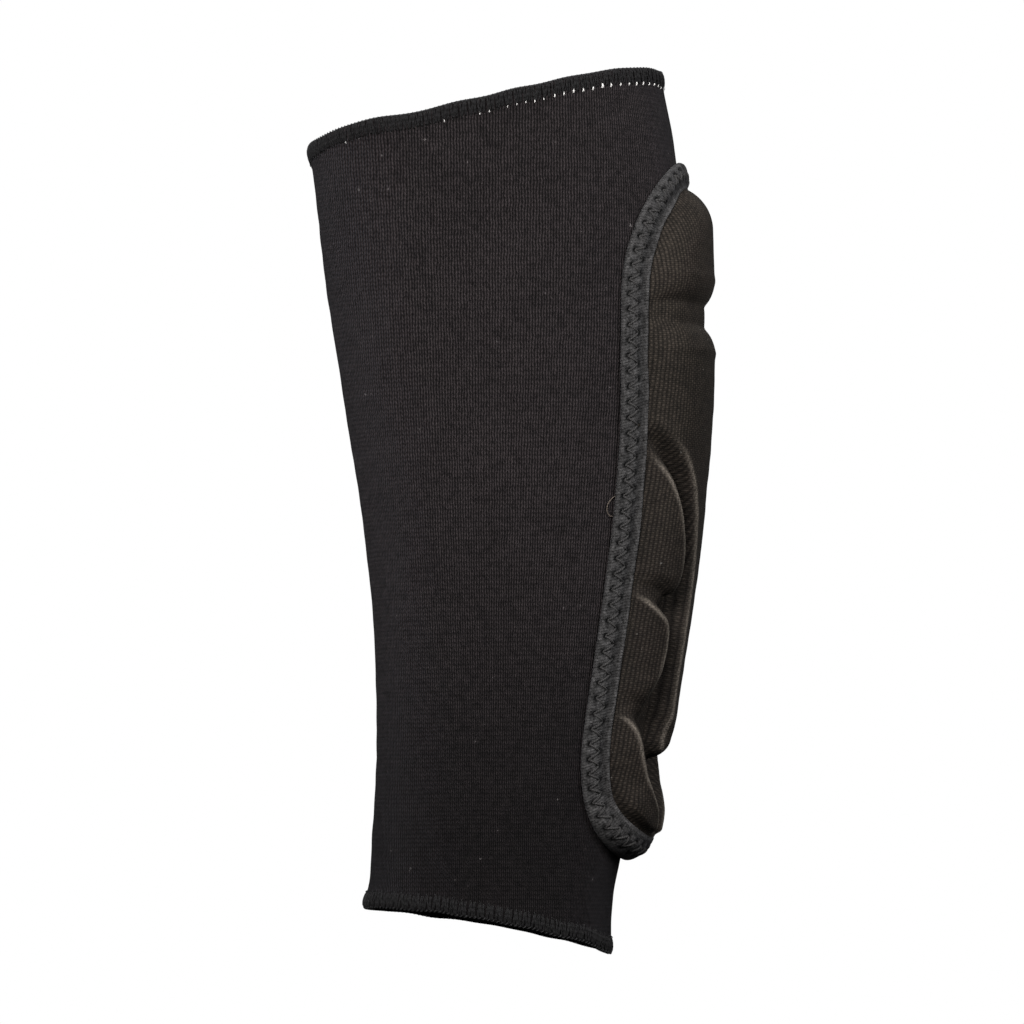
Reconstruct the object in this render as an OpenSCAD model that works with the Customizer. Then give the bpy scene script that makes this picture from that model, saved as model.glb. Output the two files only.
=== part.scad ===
// Forearm guard: a tapered knit sleeve with a padded panel sewn to its outer side.
// Frame: +Z runs from the wrist end to the elbow end, +X points out of the panel, and the
// origin is the centre of the wrist opening. All sizes are in millimetres.
// The panel is laid out in (s, z): s is the distance round the sleeve from its +X line,
// positive towards +Y, z is the height, and h is the height above the knit.

/* [Sleeve] */
// Height of the elbow opening's centre above the wrist opening's centre
sleeve_h = 249; // [240:1:262]
// Thickness of the knit
knit_t = 1.6; // [1:0.1:2.2]
// Rise of the elbow edge from the middle of the sleeve to the panel side
elbow_rise = 11.8; // [0:0.2:14]
// Drop of the wrist edge from the middle of the sleeve to the panel side
wrist_drop = 6.2; // [0:0.2:8]
// Squareness of the sleeve's oval section, where 2 is an ellipse
oval_power = 2.4; // [2:0.1:3]

/* [Edge seams] */
// Width of the overlock stitching round each edge
overlock_w = 4.3; // [3:0.1:6]
// Thickness of the overlock stitching
overlock_t = 0.7; // [0.4:0.1:1]
// Distance from one needle stitch to the next
needle_pitch = 2.8; // [2.4:0.1:4]

/* [Panel] */
// Height of the panel's lowest point
panel_low = 20; // [17:0.5:24]
// Height of the panel's highest point
panel_high = 232.5; // [226:0.5:234]
// Thickness of the woven cover
cover_t = 0.6; // [0.4:0.1:0.8]
// Thickness of the backing cloth
backing_t = 0.5; // [0.3:0.1:0.6]
// Height of the foam cells above the backing
foam_h = 6.6; // [4:0.1:9]
// Distance between neighbouring layers of the panel
layer_gap = 0.1; // [0.05:0.01:0.15]

/* [Binding] */
// Width of the tape on the panel's face
binding_w = 7.8; // [6:0.1:9]
// Thickness of the tape
binding_t = 0.6; // [0.4:0.1:0.8]
// Length of one zigzag of the sewing thread along the tape
zigzag_pitch = 4.7; // [3.5:0.1:7]
// Width of the zigzag across the tape
zigzag_w = 3.2; // [2:0.1:4]
// Thickness of the sewing threads
thread_t = 0.7; // [0.4:0.1:0.9]

/* [Hidden] */

// The sleeve's outline: height, reach to the back, reach to the front, half depth
outline = [
    [-14, 37.0, 36.8, 27.0],
    [8, 36.5, 38.0, 27.3],
    [20, 36.0, 40.8, 27.7],
    [40, 34.8, 44.8, 28.6],
    [62, 34.4, 47.8, 29.8],
    [90, 34.9, 51.9, 31.8],
    [120, 37.4, 55.8, 34.2],
    [150, 42.3, 58.9, 36.4],
    [180, 47.4, 60.1, 38.0],
    [210, 51.6, 59.8, 39.0],
    [235, 54.0, 57.6, 39.6],
    [276, 55.8, 51.5, 40.2]
];
BACK = 1;
FRONT = 2;
DEPTH = 3;
around = 44;
up = 16;
edge_bow_elbow = 0.4;
edge_bow_wrist = 1.5;

// The panel's half width at a few heights, and where its rounded ends begin
panel_widths = [[62, 30.5], [90, 31], [120, 31.7], [150, 33.2], [170, 34.8], [190, 35.4]];
bottom_round_z = 62;
top_round_z = 190;
bottom_round_power = 2.5;
top_round_power = 2;

// Heights of the panel's layers above the knit
skin = 0.15;
backing_h = skin + binding_t + layer_gap;
foam_base = backing_h + backing_t + layer_gap;
cover_base = foam_base;
tape_top = cover_base + cover_t + layer_gap + binding_t;
cell_margin = binding_w + 0.4;
fold_inset = binding_t + layer_gap + 0.3;
end_clear = 0.3;
cell_edge_h = 0.5;
inner_round = 3.2;
outer_round = 7;
cell_rise = foam_h - cell_edge_h;

// Foam cells: lowest and highest row, then the edge nearest the panel's middle as
// [height, s] points. The rows of the side cells climb towards the panel's edge.
side_slant = 0.29;
slant_middle = 16;
upper_cell = [98.8, 143,
    [[98.8, 13], [101, 9.3], [106, 7.9], [112, 8.6], [119, 10.4], [127, 12.9], [135, 16.7],
    [143, 21.2]]];
middle_cell = [65, 96.5,
    [[65, 15], [68, 12.6], [76, 11.4], [84, 10.6], [90, 10.8], [94, 12.5], [96.5, 15.5]]];
lower_cell = [33, 62,
    [[33, 2.6], [38, 4.8], [42, 7.6], [46, 10.2], [51.5, 12.3], [57.5, 14.4], [62, 18]]];
side_cells = [upper_cell, middle_cell, lower_cell];
centre_low = 51;
centre_high = 185;
centre_half = [[51, 3.5], [54, 5.6], [60, 6.4], [105, 6.4], [112, 6.9], [118, 7.9], [126, 10],
    [134, 13.6], [141, 17.4], [149, 22.5], [153, 26], [185, 28]];
top_low = 189.5;
top_high = panel_high - cell_margin - 0.5;

// ---- Sleeve surface ----

// The outline's interval that holds a height, and the outline's slope at a point of it
function interval(z, k = 0) =
    (k >= len(outline) - 2 || outline[k + 1][0] > z) ? k : interval(z, k + 1);
function slope(k, column) =
    let (a = max(k - 1, 0), b = min(k + 1, len(outline) - 1))
    (outline[b][column] - outline[a][column]) / (outline[b][0] - outline[a][0]);

// A smooth reading of one outline column at height z
function reach(z, column) =
    let (k = interval(z), d = outline[k + 1][0] - outline[k][0], t = (z - outline[k][0]) / d)
    outline[k][column] * (2 * pow(t, 3) - 3 * pow(t, 2) + 1)
    + slope(k, column) * d * (pow(t, 3) - 2 * pow(t, 2) + t)
    + outline[k + 1][column] * (3 * pow(t, 2) - 2 * pow(t, 3))
    + slope(k + 1, column) * d * (pow(t, 3) - pow(t, 2));

function signed_power(v) = sign(v) * pow(abs(v), 2 / oval_power);

// A point of the oval section at height z and angle a, moved out by h along its normal
function section(z, a, h = 0) =
    let (fore = cos(a) >= 0 ? reach(z, FRONT) : reach(z, BACK), deep = reach(z, DEPTH),
        normal_x = signed_power_inverse(cos(a)) / fore,
        normal_y = signed_power_inverse(sin(a)) / deep,
        size = norm([normal_x, normal_y]))
    [fore * signed_power(cos(a)) + h * normal_x / size,
        deep * signed_power(sin(a)) + h * normal_y / size, z];
function signed_power_inverse(v) = sign(v) * pow(abs(v), 2 - 2 / oval_power);

// Heights of the two edges at angle a
function wrist_edge(a) = -wrist_drop * signed_power(cos(a))
    + edge_bow_wrist * pow(abs(sin(a)), 4 / oval_power) - 0.5;
function elbow_edge(a) = sleeve_h + elbow_rise * signed_power(cos(a))
    + edge_bow_elbow * pow(abs(sin(a)), 4 / oval_power);

// ---- Meshes from rows of points ----

// Two triangles between points i and j of the row that starts at a and of the one at b
function patch(a, b, i, j) = [[a + i, a + j, b + j], [a + i, b + j, b + i]];

// A closed ring: sections with the same number of points, joined end to end
module ring(sections) {
    count = len(sections[0]);
    total = len(sections);
    points = [for (row = sections) each row];
    faces = [for (r = [0 : total - 1], i = [0 : count - 1])
        each patch(r * count, ((r + 1) % total) * count, i, (i + 1) % count)];
    polyhedron(points, faces, convexity = 8);
}

// A thin slab between an outer and an inner grid of points
module slab(outer, inner) {
    count = len(outer[0]);
    rows = len(outer);
    base = count * rows;
    points = concat([for (row = outer) each row], [for (row = inner) each row]);
    top = [for (r = [0 : rows - 2], i = [0 : count - 2])
        each patch(r * count, (r + 1) * count, i, i + 1)];
    rim = concat(
        [for (i = [0 : count - 1]) i],
        [for (r = [1 : rows - 1]) r * count + count - 1],
        [for (i = [count - 2 : -1 : 0]) (rows - 1) * count + i],
        [for (r = [rows - 2 : -1 : 1]) r * count]);
    walls = [for (k = [0 : len(rim) - 1])
        let (a = rim[k], b = rim[(k + 1) % len(rim)])
        each [[b, a, a + base], [b, a + base, b + base]]];
    under = [for (f = top) [f[0] + base, f[2] + base, f[1] + base]];
    polyhedron(points, [for (f = concat(top, under, walls)) [f[2], f[1], f[0]]], convexity = 8);
}

// ---- Panel surface ----

// Table of [distance round the sleeve, angle] at height z, from the +X line
arc_step = 4;
arc_end = 100;
function arc_table(z) =
    let (points = [for (a = [0 : arc_step : arc_end]) section(z, a)])
    [for (i = 0, d = 0; i < len(points);
        d = d + (i + 1 < len(points) ? norm(points[i + 1] - points[i]) : 0), i = i + 1)
        [d, i * arc_step]];

// The point at (s, z) and height h above the knit, with a table made at a nearby height
function on_sleeve(s, z, h, table) = section(z, sign(s) * lookup(abs(s), table), h);

// Half width of the panel at height z, drawn in by d from its edge
function panel_half(z, d = 0) =
    let (wide = lookup(z, panel_widths) - d,
        low = max(0, bottom_round_z - z) / (bottom_round_z - panel_low - d),
        high = max(0, z - top_round_z) / (panel_high - top_round_z - d))
    wide * pow(max(0, 1 - pow(low, bottom_round_power)), 1 / bottom_round_power)
    * pow(max(0, 1 - pow(high, top_round_power)), 1 / top_round_power);

// Half of the panel's outline, from its lowest point up to its highest, drawn in by d
arc_points = 9;
side_points = 9;
function bottom_arc(a, d) =
    [(lookup(bottom_round_z, panel_widths) - d) * pow(cos(a), 2 / bottom_round_power),
        bottom_round_z - (bottom_round_z - panel_low - d) * pow(sin(a), 2 / bottom_round_power)];
function top_arc(a, d) =
    [(lookup(top_round_z, panel_widths) - d) * pow(cos(a), 2 / top_round_power),
        top_round_z + (panel_high - top_round_z - d) * pow(sin(a), 2 / top_round_power)];
function half_outline(d) = concat(
    [for (i = [arc_points : -1 : 1]) bottom_arc(90 * i / arc_points, d)],
    [for (i = [0 : side_points])
        let (z = bottom_round_z + (top_round_z - bottom_round_z) * i / side_points)
        [lookup(z, panel_widths) - d, z]],
    [for (i = [1 : arc_points]) top_arc(90 * i / arc_points, d)]);
function full_outline(d) =
    let (half = half_outline(d), last = len(half) - 1)
    concat(half, [for (i = [last - 1 : -1 : 1]) [-half[i][0], half[i][1]]]);

// Rise of a rounded step: 0 at its foot and 1 from d = r on
function step(d, r) = d <= 0 ? 0 : d >= r ? 1 : sqrt(1 - pow(1 - d / r, 2));

// Share of full height that each kind of cell has at (s, z)
function side_share(s, z, cell) =
    let (row = z - side_slant * (abs(s) - slant_middle))
    step(abs(s) - lookup(row, cell[2]), inner_round)
    * step(panel_half(z, cell_margin) - abs(s), outer_round)
    * step(row - cell[0], inner_round) * step(cell[1] - row, inner_round);
function centre_share(s, z) =
    step(min(lookup(z, centre_half), panel_half(z, cell_margin)) - abs(s), inner_round)
    * step(z - centre_low, inner_round) * step(centre_high - z, inner_round);
function top_share(s, z) =
    step(panel_half(z, cell_margin) - abs(s), outer_round)
    * step(z - top_low, inner_round) * step(top_high - z, outer_round);
function cover_share(s, z) =
    max(centre_share(s, z), top_share(s, z), max([for (c = side_cells) side_share(s, z, c)]));

// Rows between two values, closer together towards both ends
function eased(low, high, count) =
    [for (i = [0 : count]) low + (high - low) * (1 - cos(180 * i / count)) / 2];

// ---- Sub-parts ----

module sleeve() color("#17151a") {
    walls = [for (i = [0 : around - 1])
        let (a = 360 * i / around, low = wrist_edge(a), high = elbow_edge(a))
        concat(
            [for (k = [0 : up]) section(low + (high - low) * k / up, a)],
            [for (k = [up : -1 : 0]) section(low + (high - low) * k / up, a, -knit_t)])];
    ring(walls);
}

// A U of stitching folded over one edge, where way is 1 at the wrist and -1 at the elbow
module overlock(way) {
    clear = 0.05;
    corner = 0.3;
    tip_t = 0.1;
    crown = 0.07;
    crown_at = overlock_w * 0.7;
    inner = -knit_t - overlock_t;
    profile = [[-overlock_t, corner], [-corner, overlock_t], [crown_at, overlock_t + crown],
        [overlock_w, clear + tip_t], [-clear, clear], [-clear, -knit_t - clear],
        [overlock_w, -knit_t - clear - tip_t], [crown_at, inner - crown],
        [-corner, inner], [-overlock_t, -knit_t - corner]];
    turned = way > 0 ? profile : [for (i = [len(profile) - 1 : -1 : 0]) profile[i]];
    ring([for (i = [0 : around - 1])
        let (a = 360 * i / around, edge = way > 0 ? wrist_edge(a) : elbow_edge(a))
        [for (p = turned) section(edge + way * p[0], a, p[1])]]);
}

module elbow_overlock_thread() color("#1b1a1f") overlock(-1);

module wrist_overlock_thread() color("#1b1a1f") overlock(1);

// Short upright stitches in a row beside the overlock
module needle_row(way) {
    length = 1.5;
    clear = 0.2;
    middle = way > 0 ? 0 : sleeve_h;
    girth = 2 * PI * sqrt((pow(reach(middle, FRONT), 2) + pow(reach(middle, DEPTH), 2)) / 2);
    count = floor(girth / needle_pitch);
    for (i = [0 : count - 1]) {
        a = 360 * i / count;
        edge = way > 0 ? wrist_edge(a) : elbow_edge(a);
        z = edge + way * (overlock_w + clear + length / 2);
        here = section(z, a, clear + thread_t / 2);
        ahead = section(z, a + 1, clear + thread_t / 2) - here;
        translate(here)
            rotate([0, 0, atan2(ahead[1], ahead[0])])
                cube([thread_t, thread_t, length], center = true);
    }
}

module elbow_needle_thread() color("#e8e6e2") needle_row(-1);

module wrist_needle_thread() color("#8a8888") needle_row(1);

module panel_backing() color("#202022") {
    columns = 12;
    inset = fold_inset + end_clear;
    heights = eased(panel_low + inset, panel_high - inset, 22);
    grid = [for (z = heights) let (half = panel_half(z, fold_inset), table = arc_table(z))
        [for (k = [0 : columns]) [half * (2 * k / columns - 1), z, table]]];
    slab([for (row = grid) [for (p = row) on_sleeve(p[0], p[1], backing_h + backing_t, p[2])]],
        [for (row = grid) [for (p = row) on_sleeve(p[0], p[1], backing_h, p[2])]]);
}

// One block of foam over a grid of [s, z, share of full height, arc table]
module foam_block(grid) {
    slab([for (row = grid) [for (p = row)
            on_sleeve(p[0], p[1], foam_base + cell_edge_h + cell_rise * p[2], p[3])]],
        [for (row = grid) [for (p = row) on_sleeve(p[0], p[1], foam_base, p[3])]]);
}

module foam_top() color("#3a3a3c") {
    columns = 14;
    foam_block([for (z = eased(top_low, top_high, 9))
        let (half = panel_half(z, cell_margin), table = arc_table(z))
        [for (s = eased(-half, half, columns)) [s, z, top_share(s, z), table]]]);
}

module foam_centre() color("#3a3a3c") {
    columns = 10;
    heights = concat(eased(centre_low, 105, 10),
        [for (z = [112, 118, 126, 134, 141, 149]) z], eased(153, centre_high, 6));
    foam_block([for (z = heights)
        let (half = min(lookup(z, centre_half), panel_half(z, cell_margin)),
            table = arc_table(z))
        [for (s = eased(-half, half, columns)) [s, z, centre_share(s, z), table]]]);
}

// A cell of the side rows, where side is -1 towards -Y and 1 towards +Y
module side_foam(cell, side) {
    columns = 8;
    rows = 10;
    foam_block([for (row = eased(cell[0], cell[1], rows))
        let (near = lookup(row, cell[2]), far = panel_half(row, cell_margin) - 0.4,
            table = arc_table(row), from = side > 0 ? near : -far, to = side > 0 ? far : -near)
        [for (s = eased(from, to, columns))
            let (z = row + side_slant * (abs(s) - slant_middle))
            [s, z, side_share(s, z, cell), table]]]);
}

module foam_near_upper() color("#3a3a3c") side_foam(upper_cell, -1);
module foam_near_middle() color("#3a3a3c") side_foam(middle_cell, -1);
module foam_near_lower() color("#3a3a3c") side_foam(lower_cell, -1);
module foam_far_upper() color("#3a3a3c") side_foam(upper_cell, 1);
module foam_far_middle() color("#3a3a3c") side_foam(middle_cell, 1);
module foam_far_lower() color("#3a3a3c") side_foam(lower_cell, 1);

// Rise of the cover's underside at (s, z), kept clear of a foam edge up to drape away
drape = 0.9;
function lift(share) = share <= 0 ? 0 : cell_edge_h + layer_gap + (cell_rise + layer_gap) * share;
function cover_lift(s, z) =
    lift(max([for (ds = [-drape, 0, drape], dz = [-drape, 0, drape]) cover_share(s + ds, z + dz)]));

// The woven cover: flat under the tape and in the channels, raised over each cell
module panel_cover() color("#2b2622") {
    columns = 24;
    rows = 55;
    inset = fold_inset + end_clear;
    heights = [for (i = [0 : rows])
        panel_low + inset + (panel_high - panel_low - 2 * inset) * i / rows];
    grid = [for (z = heights) let (half = panel_half(z, fold_inset), table = arc_table(z))
        [for (k = [0 : columns]) let (s = half * (2 * k / columns - 1))
            [s, z, cover_lift(s, z), table]]];
    slab([for (row = grid) [for (p = row)
            on_sleeve(p[0], p[1], cover_base + cover_t + p[2], p[3])]],
        [for (row = grid) [for (p = row) on_sleeve(p[0], p[1], cover_base + p[2], p[3])]]);
}

// The tape, folded over the edges of the cover and the backing
module edge_binding() color("#34343a") {
    low = skin;
    corner = 0.7;
    fold = binding_t + layer_gap;
    profile = [[binding_w, tape_top], [corner, tape_top], [0, (tape_top + low) / 2], [corner, low],
        [binding_w, low], [binding_w, low + binding_t], [fold, low + binding_t],
        [fold, tape_top - binding_t], [binding_w, tape_top - binding_t]];
    outlines = [for (p = profile) full_outline(p[0])];
    ring([for (i = [0 : len(outlines[0]) - 1])
        [for (k = [0 : len(profile) - 1])
            let (q = outlines[k][i]) on_sleeve(q[0], q[1], profile[k][1], arc_table(q[1]))]]);
}

// One thread zigzagging round the middle of the tape
module binding_zigzag_thread() color("#26262b") {
    outer = full_outline(binding_w / 2 - zigzag_w / 2);
    inner = full_outline(binding_w / 2 + zigzag_w / 2);
    total = len(outer);
    runs = [for (i = 0, d = 0; i <= total;
        d = d + (i < total ? norm(outer[(i + 1) % total] - outer[i % total]) : 0), i = i + 1) d];
    steps = 2 * round(runs[total] / zigzag_pitch);
    clear = 0.05;
    low = tape_top + clear;
    half = thread_t / 2;
    spots = [for (k = [0 : steps - 1])
        let (place = lookup(runs[total] * k / steps, [for (i = [0 : total]) [runs[i], i]]),
            i = floor(place), f = place - i,
            at_outer = outer[i % total] * (1 - f) + outer[(i + 1) % total] * f,
            at_inner = inner[i % total] * (1 - f) + inner[(i + 1) % total] * f,
            across = (at_inner - at_outer) / norm(at_inner - at_outer) * half)
        k % 2 == 0 ? [at_outer, across] : [at_inner, across]];
    ring([for (spot = spots) let (p = spot[0], across = spot[1], table = arc_table(p[1]))
        [for (q = [[p + across, low], [p - across, low], [p - across, low + thread_t],
            [p + across, low + thread_t]])
            on_sleeve(q[0][0], q[0][1], q[1], table)]]);
}

sleeve();
elbow_overlock_thread();
wrist_overlock_thread();
elbow_needle_thread();
wrist_needle_thread();
panel_backing();
foam_top();
foam_centre();
foam_near_upper();
foam_near_middle();
foam_near_lower();
foam_far_upper();
foam_far_middle();
foam_far_lower();
panel_cover();
edge_binding();
binding_zigzag_thread();
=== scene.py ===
"""Looks of the forearm guard: knit sleeve, overlocked edges and a canvas-covered foam panel.

Lengths inside the functions are metres in the CAD frame: +Z towards the elbow, +X out of the
panel. The sleeve's surface is read from the CAD sleeve. The panel is laid out on it in (s, z):
s is the distance round the sleeve from its +X line, z the height, h the height above the knit.
"""
import math

import bmesh
import bpy
import numpy as np
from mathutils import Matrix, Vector
from mathutils.bvhtree import BVHTree


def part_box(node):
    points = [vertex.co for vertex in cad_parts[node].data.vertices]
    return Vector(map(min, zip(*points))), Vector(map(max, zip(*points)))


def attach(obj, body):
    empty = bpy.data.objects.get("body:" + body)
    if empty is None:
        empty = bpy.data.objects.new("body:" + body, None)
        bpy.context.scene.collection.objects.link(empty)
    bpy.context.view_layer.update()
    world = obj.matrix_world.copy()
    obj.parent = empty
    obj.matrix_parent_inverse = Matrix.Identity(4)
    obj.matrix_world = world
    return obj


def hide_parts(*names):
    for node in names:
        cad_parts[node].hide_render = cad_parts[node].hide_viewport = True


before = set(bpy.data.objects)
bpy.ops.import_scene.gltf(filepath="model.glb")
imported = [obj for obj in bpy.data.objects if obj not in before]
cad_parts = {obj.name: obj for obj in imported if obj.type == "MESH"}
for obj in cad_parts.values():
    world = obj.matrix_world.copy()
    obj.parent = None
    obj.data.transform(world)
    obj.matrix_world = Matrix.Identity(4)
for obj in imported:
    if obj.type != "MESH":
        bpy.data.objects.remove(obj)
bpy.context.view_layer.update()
MM = 0.001

# ---- Sizes, in millimetres ----
KNIT_T = 1.6
WALES_ROUND = 168
COURSE = 1.34
WARP_PITCH = 0.86
WEFT_PITCH = 0.64
NEEDLE_PITCH = 2.8
NEEDLE_DOWN = 4.6
BINDING_W = 7.8
TAPE_TOP = 2.95
COVER_FLOOR = 2.1
COVER_T = 0.5
FOAM_BASE = 1.45
FOAM_CLEAR = 0.65
BACKING_LOW = 0.85
BACKING_T = 0.45
CELL_H = 7.7
ZIGZAG_PITCH = 4.7
ZIGZAG_W = 3.1
OVERLOCK_R = 0.21
CHAIN_R = 0.26
ZIGZAG_R = 0.36
LOOSE_R = 0.13
GROOVE_Z = 185.6
DIMPLES_Z = (100, 67)
END_RISE = 7.0
BOTTOM_ROUND_Z = 62.0
TOP_ROUND_Z = 190.0
PANEL_WIDTHS = ((62, 30.5), (90, 31), (120, 31.7), (150, 33.2), (170, 34.8), (190, 35.4))
BOTTOM_POWER = 2.5
TOP_POWER = 2.0

# The foam cells' outlines as (|s|, z) points: what lies past s = 0 or past the tape is trimmed
CELLS = {
    "foam_top": [(-60, 187.6), (60, 187.6), (60, 245), (-60, 245)],
    "foam_centre": [(-60, 183.6), (60, 183.6), (60, 155), (27, 152.5), (18.4, 142.5),
                    (13.6, 134.5), (9.9, 126), (7.9, 118), (6.9, 112), (6.4, 105), (6.3, 60),
                    (5.6, 54.5), (3.6, 51.4), (-9, 50.2)],
    "upper": [(29, 150), (21.4, 143), (16.4, 135.5), (12.8, 127.5), (10.3, 119), (9.1, 113),
              (8.9, 107.5), (9.8, 102.5), (11.8, 99.4), (14.4, 99.6), (17.4, 101.6),
              (22, 102.6), (34, 103)],
    "middle": [(34, 106), (26, 104), (19.4, 101), (16, 97.6), (12.8, 94.6), (11.1, 91),
               (10.6, 86), (11, 78), (11.9, 71), (13.4, 67), (15.8, 65.6), (18.6, 66.6),
               (22, 67.6), (34, 68.4)],
    "lower": [(34, 70), (26, 67), (19.4, 65), (16.4, 62.2), (14.2, 58), (12.4, 51.6),
              (10.2, 46), (7.2, 41.6), (4, 37.6), (2.4, 34), (2.0, 28), (2.4, 20), (34, 16)],
}

LOW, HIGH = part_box("edge_binding")
PANEL_LOW = LOW.z / MM
PANEL_HIGH = HIGH.z / MM


# ---- Reading the sleeve's surface from the CAD ----

ANGLES = 120
LEVELS = 101


def bvh_of(node):
    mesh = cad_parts[node].data
    return BVHTree.FromPolygons([v.co for v in mesh.vertices],
                                [tuple(p.vertices) for p in mesh.polygons])


def smooth(grid, axis, sigma, wrap):
    """Gaussian smoothing of a grid along one axis."""
    size = int(3 * sigma) + 1
    kernel = np.exp(-0.5 * (np.arange(-size, size + 1) / sigma) ** 2)
    kernel /= kernel.sum()
    pad = [(0, 0)] * grid.ndim
    pad[axis] = (size, size)
    wide = np.pad(grid, pad, mode="wrap" if wrap else "reflect",
                  **({} if wrap else {"reflect_type": "odd"}))
    count = grid.shape[axis]
    return sum(k * np.take(wide, range(i, i + count), axis) for i, k in enumerate(kernel))


def weights(t):
    return (0.5 * (-t + 2 * t * t - t ** 3), 0.5 * (2 - 5 * t * t + 3 * t ** 3),
            0.5 * (t + 4 * t * t - 3 * t ** 3), 0.5 * (t ** 3 - t * t))


def read(grid, u, v, wrap=False):
    """Smooth reading of a grid at fractional row u and column v."""
    rows, columns = grid.shape[:2]
    u, v = np.broadcast_arrays(np.asarray(u, float), np.asarray(v, float))
    iu = np.floor(u).astype(int)
    iv = np.floor(v).astype(int)
    wu = weights(u - iu)
    wv = weights(v - iv)
    out = 0
    for a in range(4):
        row = (iu + a - 1) % rows if wrap else np.clip(iu + a - 1, 0, rows - 1)
        for b in range(4):
            w = wu[a] * wv[b]
            value = grid[row, np.clip(iv + b - 1, 0, columns - 1)]
            out = out + value * (w[..., None] if grid.ndim == 3 else w)
    return out


def measure_sleeve():
    """Heights of both edges by angle, and the radius by angle and share of the height."""
    tree = bvh_of("sleeve")
    low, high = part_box("sleeve")
    middle = (low.z + high.z) / 2
    edges = np.zeros((ANGLES, 2))
    radius = np.zeros((ANGLES, LEVELS))
    for i in range(ANGLES):
        a = 2 * math.pi * i / ANGLES
        out = Vector((math.cos(a), math.sin(a), 0))
        for side, end in enumerate((low.z - 0.005, high.z + 0.005)):
            inside, outside = middle, end
            for _ in range(14):
                z = (inside + outside) / 2
                hit = tree.ray_cast(Vector((0, 0, z)), out, 0.2)[0]
                inside, outside = (z, outside) if hit else (inside, z)
            edges[i, side] = inside
        for k in range(LEVELS):
            v = min(max(k / (LEVELS - 1), 0.004), 0.996)
            z = edges[i, 0] + v * (edges[i, 1] - edges[i, 0])
            far = out * 0.2 + Vector((0, 0, z))
            radius[i, k] = 0.2 - tree.ray_cast(far, -out, 0.2)[3]
    edges = smooth(edges, 0, 1.5, True)
    radius = smooth(smooth(radius, 0, 1.3, True), 1, 1.6, False)
    return edges, radius


EDGES, RADIUS = measure_sleeve()


def edge_heights(a):
    u = np.asarray(a) / (2 * math.pi) * ANGLES
    return read(EDGES, u, np.zeros_like(u), True), read(EDGES, u, np.ones_like(u), True)


def plain_wall(a, v):
    """The knit's outer surface at angle a and share v of the height."""
    low, high = edge_heights(a)
    r = read(RADIUS, np.asarray(a) / (2 * math.pi) * ANGLES,
             np.clip(v, 0, 1) * (LEVELS - 1), True)
    return np.stack([r * np.cos(a), r * np.sin(a), low + (high - low) * v], -1)


def unit(v):
    return v / np.maximum(np.linalg.norm(v, axis=-1, keepdims=True), 1e-12)


def wall_normal(a, v):
    across = plain_wall(a + 0.01, v) - plain_wall(a - 0.01, v)
    along = plain_wall(a, np.clip(v + 0.01, 0, 1)) - plain_wall(a, np.clip(v - 0.01, 0, 1))
    return unit(np.cross(across, along))


# ---- Smooth seeded noise ----

def noise(seed, *coordinates):
    """Sum of seeded waves of the coordinates, from about -1 to 1."""
    rng = np.random.default_rng(seed)
    out = 0
    for _ in range(9):
        phase = rng.uniform(0, 2 * math.pi)
        turn = phase
        for c in coordinates:
            turn = turn + c * rng.uniform(-1, 1) * 2 * math.pi
        out = out + np.sin(turn)
    return out / 4.2


# ---- The panel's own coordinates ----

S_STEP = 1.0
S_REACH = 58
Z_FROM, Z_TO, Z_STEP = 8.0, 244.0, 2.0


def measure_panel():
    """Points and normals of the knit on a grid of (z, s)."""
    fine = np.radians(np.arange(0, 131, 1.0))
    heights = np.arange(Z_FROM, Z_TO + 0.1, Z_STEP)
    s = np.arange(-S_REACH, S_REACH + 0.1, S_STEP)
    points = np.zeros((len(heights), len(s), 3))
    normals = np.zeros_like(points)
    low, high = edge_heights(fine)
    for k, z in enumerate(heights):
        line = plain_wall(fine, (z * MM - low) / (high - low))
        run = np.concatenate([[0], np.cumsum(np.linalg.norm(np.diff(line, axis=0), axis=1))])
        angle = np.interp(np.abs(s) * MM, run, fine) * np.sign(s)
        lo, hi = edge_heights(angle)
        v = (z * MM - lo) / (hi - lo)
        points[k] = plain_wall(angle, v)
        normals[k] = wall_normal(angle, v)
    return smooth(points, 1, 1.2, False), unit(smooth(normals, 1, 2.0, False))


PANEL_POINTS, PANEL_NORMALS = measure_panel()


def on_panel(s, z, h):
    """The point at (s, z) and height h above the knit, all in millimetres."""
    u = (np.asarray(z) - Z_FROM) / Z_STEP
    v = (np.asarray(s) + S_REACH) / S_STEP
    normal = unit(read(PANEL_NORMALS, u, v))
    return read(PANEL_POINTS, u, v) + normal * np.asarray(h)[..., None] * MM


def panel_half(z, d=0.0):
    """Half width of the panel at height z, drawn in by d."""
    knots = np.array(PANEL_WIDTHS, float)
    wide = np.interp(z, knots[:, 0], knots[:, 1]) - d
    low = np.maximum(0, BOTTOM_ROUND_Z - z) / (BOTTOM_ROUND_Z - PANEL_LOW - d)
    high = np.maximum(0, z - TOP_ROUND_Z) / (PANEL_HIGH - TOP_ROUND_Z - d)
    return (wide * np.maximum(0, 1 - low ** BOTTOM_POWER) ** (1 / BOTTOM_POWER)
            * np.maximum(0, 1 - high ** TOP_POWER) ** (1 / TOP_POWER))


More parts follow.
